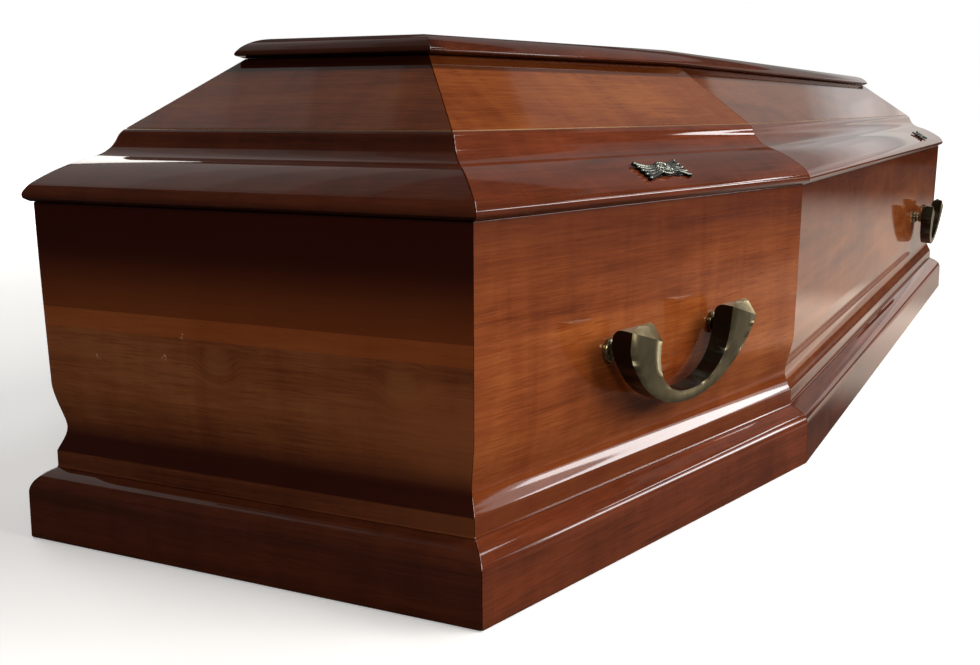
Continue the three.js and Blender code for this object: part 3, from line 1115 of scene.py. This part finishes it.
# Each window's name, place, aim, size, power in watts and tint.
WINDOWS = (
    ("window_right", (0.4, -4.4, 2.4), (-0.3, 0.0, 0.15), (3.6, 2.4), 260.0, DAYLIGHT),
    ("window_front", (-4.4, -2.6, 2.6), (-0.9, 0.0, 0.2), (1.6, 1.6), 115.0, DAYLIGHT),
    ("low_window", (3.0, -3.45, 1.2), NEAR_SHOULDER, (1.4, 0.35), 13.0, WHITE),
    ("low_haze", (3.05, -3.5, 1.25), NEAR_SHOULDER, (1.7, 0.8), 7.0, WHITE),
    ("mid_window", (3.03, -2.65, 1.87), (-0.75, -0.26, 0.3), (1.3, 0.14), 4.0, WHITE),
    ("high_window", (2.2, -2.8, 4.4), NEAR_SHOULDER, (2.4, 1.6), 60.0, WHITE),
    ("far_window", (7.0, 0.4, 1.2), FOOT_HALF_WAY, (4.5, 2.0), 6.0, (1.0, 0.98, 0.93)),
    ("far_low", (6.9, 0.5, 0.7), FOOT_HALF_WAY, (4.5, 0.7), 4.0, (1.0, 0.96, 0.88)),
    ("back_window", (1.0, 4.8, 2.6), (0.0, 0.0, 0.2), (3.0, 2.0), 90.0, DAYLIGHT),
    ("far_wall", (7.0, 0.2, 4.2), (-0.4, -0.2, 0.3), (8.0, 2.6), 10.0, WHITE),
    ("top_soft", (-0.5, -0.6, 5.0), (-0.5, -0.6, 0.0), (2.0, 2.0), 19.0, WHITE),
)
FAR_LAMPS = 4
FAR_LAMP_GLOW = 0.38
CEILING_STRIPS = 5
CEILING_DEPTH = 3.0
CEILING_BACK = 5.0
CEILING_HEIGHT = 4.2
CEILING_WIDTH = 4.2
CEILING_GLOW = 1.2


def add_light(name, place, aim, size, power, tint):
    """A soft rectangular light aimed at a point."""
    data = bpy.data.lights.new(name, "AREA")
    data.shape = "RECTANGLE"
    data.size, data.size_y = size
    data.energy = power
    data.color = tint
    lamp = bpy.data.objects.new(name, data)
    lamp.location = place
    lamp.rotation_euler = (Vector(aim) - Vector(place)).to_track_quat("-Z", "Y").to_euler()
    bpy.context.scene.collection.objects.link(lamp)


def hang_lights():
    """The windows, then lamps and ceiling strips that overlap, so that the lacquer mirrors soft edges."""
    for window in WINDOWS:
        add_light(*window)
    for k in range(FAR_LAMPS):
        wide = 0.7 + 0.5 * k
        tall = 0.14 + 0.16 * k
        place_at = (6.8 + 0.01 * k, 0.3, 1.25)
        add_light(f"far_lamp_{k}", place_at, FOOT_HALF_WAY, (wide, tall), FAR_LAMP_GLOW * wide * tall, WHITE)
    for k in range(CEILING_STRIPS):
        deep = CEILING_DEPTH - 0.45 * k
        place_at = (0.4, CEILING_BACK - deep / 2, CEILING_HEIGHT - 0.02 * k)
        straight_down = (0.4, place_at[1], 0.0)
        size = (CEILING_WIDTH, deep)
        add_light(f"ceiling_{k}", place_at, straight_down, size, deep * CEILING_GLOW, (1.0, 0.97, 0.95))


def lay_floor():
    """A pale floor to the camera that glows whiter into the distance; the lacquer mirrors it as dark felt
    with three glowing patches.
    """
    start_fresh()
    bpy.ops.mesh.primitive_plane_add(size=60.0, location=(0, 0, -0.0005))
    floor = bpy.context.object
    floor.name = "floor"
    pale = Finish("pale_floor")
    x, y, _ = pale.split(pale.object_space())
    far = (x * x + y * y).ramp(1.0, 12.0)
    seen = pale.node("LightPath", out=0)
    beyond_foot = x.ramp(0.0, 0.7) * (1.0 - x.ramp(2.2, 4.2)) * y.ramp(-1.5, -0.7) * 0.4
    near_corner = (1.0 - x.ramp(-2.2, -1.3)) * (1.0 - y.ramp(-0.9, -0.4)) * 0.3
    beside_foot = x.ramp(-0.25, 0.05) * (1.0 - x.ramp(0.5, 0.9)) * y.ramp(-0.9, -0.5) * 0.5
    felt_glow = pale.blend(beyond_foot + near_corner + beside_foot, (0, 0, 0), (1.0, 0.88, 0.74))
    tone = pale.blend(seen, (0.02, 0.018, 0.017), (0.92, 0.92, 0.92))
    glow = pale.blend(seen, felt_glow, pale.blend(far, (0.2, 0.2, 0.2), WHITE))
    coat(floor, pale.surface(
        Base_Color=tone, Roughness=0.9, Emission_Color=glow, Emission_Strength=1.0))


def paint_surroundings(scene):
    """White behind the coffin, and almost black in what the lacquer mirrors."""
    world = bpy.data.worlds.new("studio")
    scene.world = world
    world.use_nodes = True
    tree = world.node_tree
    tree.nodes.clear()
    output = tree.nodes.new("ShaderNodeOutputWorld")
    shown = tree.nodes.new("ShaderNodeBackground")
    shown.inputs[0].default_value = (1, 1, 1, 1)
    shown.inputs[1].default_value = 1.0
    felt = tree.nodes.new("ShaderNodeBackground")
    felt.inputs[0].default_value = (1.0, 0.98, 0.95, 1)
    felt.inputs[1].default_value = 0.04
    path = tree.nodes.new("ShaderNodeLightPath")
    mix = tree.nodes.new("ShaderNodeMixShader")
    tree.links.new(path.outputs["Is Camera Ray"], mix.inputs[0])
    tree.links.new(felt.outputs[0], mix.inputs[1])
    tree.links.new(shown.outputs[0], mix.inputs[2])
    tree.links.new(mix.outputs[0], output.inputs[0])


def stand_camera(scene):
    """The camera at the photograph's place and angle, with its lens and centre."""
    data = bpy.data.cameras.new("camera")
    data.sensor_width = SENSOR
    data.lens = FOCAL_PIXELS / FRAME_WIDTH * SENSOR
    data.shift_x = -(CENTRE_PIXEL[0] - FRAME_CENTRE[0]) / FRAME_WIDTH
    data.shift_y = (CENTRE_PIXEL[1] - FRAME_CENTRE[1]) / FRAME_WIDTH
    data.clip_start = 0.01
    camera = bpy.data.objects.new("camera", data)
    scene.collection.objects.link(camera)
    turn = Matrix.Rotation(CAMERA_YAW - math.pi / 2, 4, "Z")
    tilt = Matrix.Rotation(math.pi / 2 + CAMERA_PITCH, 4, "X")
    roll = Matrix.Rotation(-CAMERA_ROLL, 4, "Z")
    camera.matrix_world = Matrix.Translation(CAMERA_PLACE) @ turn @ tilt @ roll
    scene.camera = camera


class COFFIN_OT_stage(bpy.types.Operator):
    """A pale floor, soft lights and the camera"""

    bl_idname = "coffin.stage"
    bl_label = "Stage"

    def execute(self, context):
        lay_floor()
        paint_surroundings(context.scene)
        hang_lights()
        stand_camera(context.scene)
        context.scene.view_settings.view_transform = "Standard"
        return {"FINISHED"}


class COFFIN_PT_panel(bpy.types.Panel):
    """Lists the coffin's pieces in the sidebar"""

    bl_idname = "COFFIN_PT_panel"
    bl_label = "Coffin"
    bl_space_type = "VIEW_3D"
    bl_region_type = "UI"
    bl_category = "Coffin"

    def draw(self, context):
        for operator in OPERATORS:
            self.layout.operator(operator.bl_idname)
        for group in (context.scene.coffin_sizes, context.scene.coffin_colours):
            for key in group.bl_rna.properties.keys():
                if key not in {"rna_type", "name"}:
                    self.layout.prop(group, key)


OPERATORS = (
    COFFIN_OT_stage, COFFIN_OT_walls, COFFIN_OT_plinth, COFFIN_OT_lid, COFFIN_OT_handles,
    COFFIN_OT_ornaments,
)
CLASSES = (CoffinSizes, CoffinColours, *OPERATORS, COFFIN_PT_panel)


def register():
    for cls in CLASSES:
        bpy.utils.register_class(cls)
    bpy.types.Scene.coffin_sizes = bpy.props.PointerProperty(type=CoffinSizes)
    bpy.types.Scene.coffin_colours = bpy.props.PointerProperty(type=CoffinColours)


def unregister():
    del bpy.types.Scene.coffin_colours
    del bpy.types.Scene.coffin_sizes
    for cls in reversed(CLASSES):
        bpy.utils.unregister_class(cls)


def main():
    register()
    for operator in OPERATORS:
        group, name = operator.bl_idname.split(".")
        getattr(getattr(bpy.ops, group), name)()
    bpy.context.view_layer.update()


if __name__ == "__main__":
    main()
